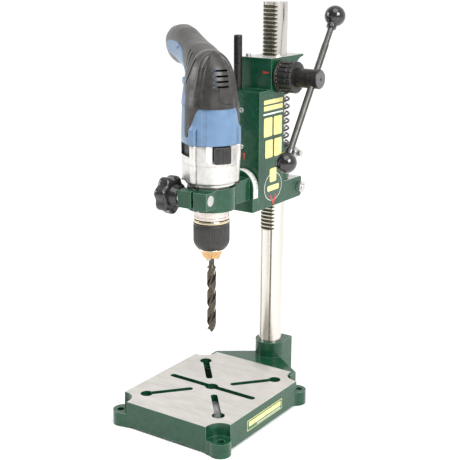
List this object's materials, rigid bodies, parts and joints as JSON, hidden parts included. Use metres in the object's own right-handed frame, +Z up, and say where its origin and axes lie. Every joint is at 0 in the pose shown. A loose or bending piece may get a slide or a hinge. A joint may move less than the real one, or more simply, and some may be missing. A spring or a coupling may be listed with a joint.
{
  "type": "drill press",
  "caption": "Bench drill stand with rack-and-pinion head, tilting collar arm and a clamped hand power drill.",
  "frame": {"origin": "on the bench under the drill axis, at the centre of the four bench bolt holes", "axes": "+Z up, +Y back towards the column, +X towards the feed lever side"},
  "size_m": [0.2117, 0.2653, 0.4845],
  "materials": {
    "green_paint": "gloss",
    "ground_iron": "satin",
    "chrome_bar": "polished",
    "zinc": "satin",
    "black_steel": "satin",
    "steel": "satin",
    "spring_steel": "satin",
    "bronze": "satin",
    "nose_brass": "satin",
    "black_plastic": "gloss",
    "black_matte": "matte",
    "buffer_rubber": "matte",
    "label_yellow": "gloss",
    "mark_red": "gloss",
    "tape_white": "matte",
    "alloy": "satin",
    "blue_plastic": "satin",
    "grip_rubber": "matte",
    "winding": "satin",
    "switch_plastic": "matte",
    "fan_plastic": "matte",
    "bit_steel": "satin"
  },
  "bodies": {
    "root": {"base_casting": "green_paint", "base_label": "label_yellow", "column": "chrome_bar", "column_grub_screws": "black_steel"},
    "head": {"head_casting": "green_paint", "front_screws": "zinc", "top_screws": "black_steel", "pinch_bolt": "zinc", "pinion_bushes": "bronze", "index_marks": "mark_red", "side_label": "label_yellow", "steady_rod": "black_steel", "steady_rod_nut": "zinc", "return_spring": "spring_steel"},
    "lever": {"pinion_shaft": "steel", "pinion_circlip": "black_steel", "lever_hub": "black_steel", "hub_grub_screw": "black_steel", "lever_rod": "steel", "upper_ball_knob": "black_plastic", "lower_ball_knob": "black_plastic"},
    "dial": {"depth_dial": "black_matte", "dial_lock_screw": "black_steel"},
    "collar": {"height_collar": "green_paint", "collar_bolt": "zinc", "buffer_washer": "buffer_rubber"},
    "arm": {"clamp_arm": "green_paint", "scale_tape": "tape_white", "tilt_bolt": "black_steel", "tilt_nut": "zinc", "clamp_bolt": "zinc", "clamp_washer": "zinc", "gearbox_housing": "alloy", "housing_screws": "black_steel", "motor_housing": "blue_plastic", "rear_shell_left": "grip_rubber", "rear_shell_right": "grip_rubber", "butt_plate": "black_matte", "cable_gland": "buffer_rubber", "switch_module": "switch_plastic", "stator": "winding", "motor_bearings": "steel", "spindle_bearing": "steel"},
    "star": {"star_knob": "black_matte", "knob_insert": "zinc"},
    "trigger_body": {"trigger": "black_matte"},
    "direction_body": {"direction_lever": "black_matte"},
    "lock_body": {"lock_button": "black_matte"},
    "mode_body": {"mode_selector": "black_matte"},
    "armature_body": {"armature": "winding", "cooling_fan": "fan_plastic"},
    "chuck": {"spindle": "steel", "spindle_gear": "steel", "chuck_body": "nose_brass", "drill_bit": "bit_steel"},
    "sleeve": {"chuck_sleeve": "black_matte"},
    "jaw_1_body": {"jaw_1": "steel"},
    "jaw_2_body": {"jaw_2": "steel"},
    "jaw_3_body": {"jaw_3": "steel"}
  },
  "joints": [
    {"name": "head_slide", "type": "slide", "parent": "root", "child": "head", "axis": [0, 0, 1], "range_m": [-0.1, 0.06]},
    {"name": "lever_turn", "type": "hinge", "parent": "head", "child": "lever", "pos_m": [0, 0.11139, 0.399], "axis": [1, 0, 0], "range_deg": [-382.5, 637]},
    {"name": "dial_turn", "type": "hinge", "parent": "lever", "child": "dial", "pos_m": [0.0345, 0.11139, 0.399], "axis": [1, 0, 0], "continuous": true},
    {"name": "collar_slide", "type": "slide", "parent": "head", "child": "collar", "axis": [0, 0, 1], "range_m": [0, 0.048], "stiffness_N_per_m": 600, "springref_m": -0.02, "deforming": ["return_spring"]},
    {"name": "arm_tilt", "type": "hinge", "parent": "head", "child": "arm", "pos_m": [0, 0.06, 0.271], "axis": [0, 1, 0], "range_deg": [-90, 14]},
    {"name": "star_turn", "type": "hinge", "parent": "arm", "child": "star", "pos_m": [-0.038, -0.029, 0.2735], "axis": [1, 0, 0], "range_deg": [0, 720]},
    {"name": "chuck_spin", "type": "hinge", "parent": "arm", "child": "chuck", "pos_m": [0, 0, 0.22], "axis": [0, 0, 1], "continuous": true},
    {"name": "armature_spin", "type": "hinge", "parent": "arm", "child": "armature_body", "pos_m": [-0.01342, 0.01011, 0.35], "axis": [0, 0, 1], "continuous": true},
    {"name": "sleeve_turn", "type": "hinge", "parent": "chuck", "child": "sleeve", "pos_m": [0, 0, 0.22], "axis": [0, 0, 1], "range_deg": [0, 900]},
    {"name": "trigger_press", "type": "slide", "parent": "arm", "child": "trigger_body", "axis": [0, 0, 1], "range_m": [0, 0.006], "stiffness_N_per_m": 800, "springref_m": -0.001},
    {"name": "direction_push", "type": "slide", "parent": "arm", "child": "direction_body", "axis": [-0.6018, -0.7986, 0], "range_m": [-0.003, 0.003]},
    {"name": "lock_press", "type": "slide", "parent": "arm", "child": "lock_body", "axis": [0.6018, 0.7986, 0], "range_m": [0, 0.0018], "stiffness_N_per_m": 400, "springref_m": -0.001},
    {"name": "mode_shift", "type": "slide", "parent": "arm", "child": "mode_body", "axis": [-0.6018, -0.7986, 0], "range_m": [0, 0.007]},
    {"name": "jaw_1_slide", "type": "slide", "parent": "chuck", "child": "jaw_1_body", "axis": [0.2241, 0.1294, 0.9659], "range_m": [0, 0.005]},
    {"name": "jaw_2_slide", "type": "slide", "parent": "chuck", "child": "jaw_2_body", "axis": [-0.2241, 0.1294, 0.9659], "range_m": [0, 0.005]},
    {"name": "jaw_3_slide", "type": "slide", "parent": "chuck", "child": "jaw_3_body", "axis": [0, -0.2588, 0.9659], "range_m": [0, 0.005]}
  ],
  "couplings": [
    {"joint": "lever_turn", "follows": "head_slide", "rad_per_m": -111.11},
    {"joint": "armature_spin", "follows": "chuck_spin", "ratio": -5},
    {"joint": "jaw_1_slide", "follows": "sleeve_turn", "m_per_rad": 0.00031831},
    {"joint": "jaw_2_slide", "follows": "sleeve_turn", "m_per_rad": 0.00031831},
    {"joint": "jaw_3_slide", "follows": "sleeve_turn", "m_per_rad": 0.00031831}
  ]
}
